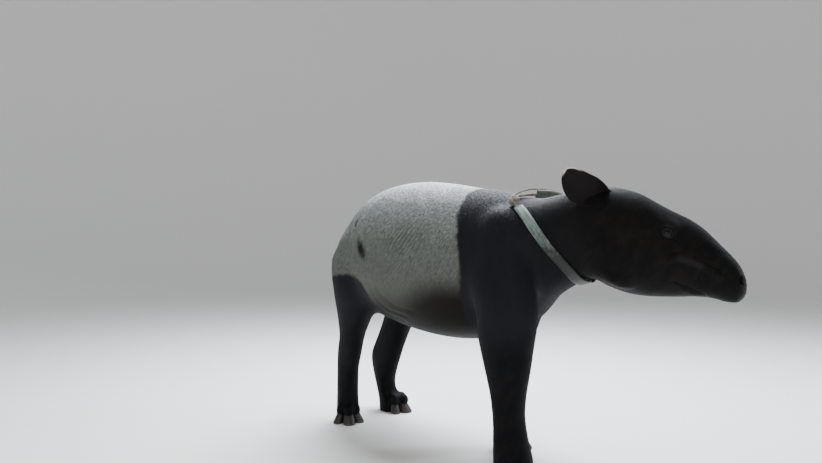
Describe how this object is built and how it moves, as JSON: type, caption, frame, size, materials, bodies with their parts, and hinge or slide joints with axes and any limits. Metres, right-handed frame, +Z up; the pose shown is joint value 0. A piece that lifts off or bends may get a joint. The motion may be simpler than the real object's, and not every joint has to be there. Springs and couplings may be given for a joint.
{
  "type": "malayan tapir model",
  "caption": "Life-size standing Malayan tapir in a slow walk, head low and turned left, with a two-tone coat and a rope-and-hose collar.",
  "frame": {"origin": "middle of the whole model's box, on the floor", "axes": "+X from the rump towards the breast, the way the animal faces; +Y its left side; +Z up"},
  "size_m": [1.525, 0.5068, 0.9278],
  "materials": {
    "pale_coat": "short pale grey coat, flat-lying and slightly mottled",
    "black_coat": "short sleek black-brown coat",
    "eye": "wet dark brown",
    "hoof_horn": "dull dark horn",
    "collar_hose": "flattened pale grey-green hose with lengthwise streaks",
    "collar_rope": "twisted beige-brown rope"
  },
  "bodies": {
    "root": {"torso": "pale_coat", "neck": "black_coat", "head": "black_coat", "tail": "pale_coat", "ear_right": "black_coat", "ear_left": "black_coat", "foreleg_right": "black_coat", "foreleg_left": "black_coat", "hindleg_right": "black_coat", "hindleg_left": "black_coat", "eye_right": "eye", "eye_left": "eye", "hoof_fore_right_1": "hoof_horn", "hoof_fore_right_2": "hoof_horn", "hoof_fore_right_3": "hoof_horn", "hoof_fore_right_4": "hoof_horn", "hoof_fore_left_1": "hoof_horn", "hoof_fore_left_2": "hoof_horn", "hoof_fore_left_3": "hoof_horn", "hoof_fore_left_4": "hoof_horn", "hoof_hind_right_1": "hoof_horn", "hoof_hind_right_2": "hoof_horn", "hoof_hind_right_3": "hoof_horn", "hoof_hind_left_1": "hoof_horn", "hoof_hind_left_2": "hoof_horn", "hoof_hind_left_3": "hoof_horn", "collar_sleeve_right": "collar_hose", "collar_sleeve_left": "collar_hose", "collar_rope_right": "collar_rope", "collar_rope_left": "collar_rope", "collar_rope_throat": "collar_rope", "collar_rope_strand": "collar_rope", "collar_knot": "collar_rope"}
  },
  "joints": []
}
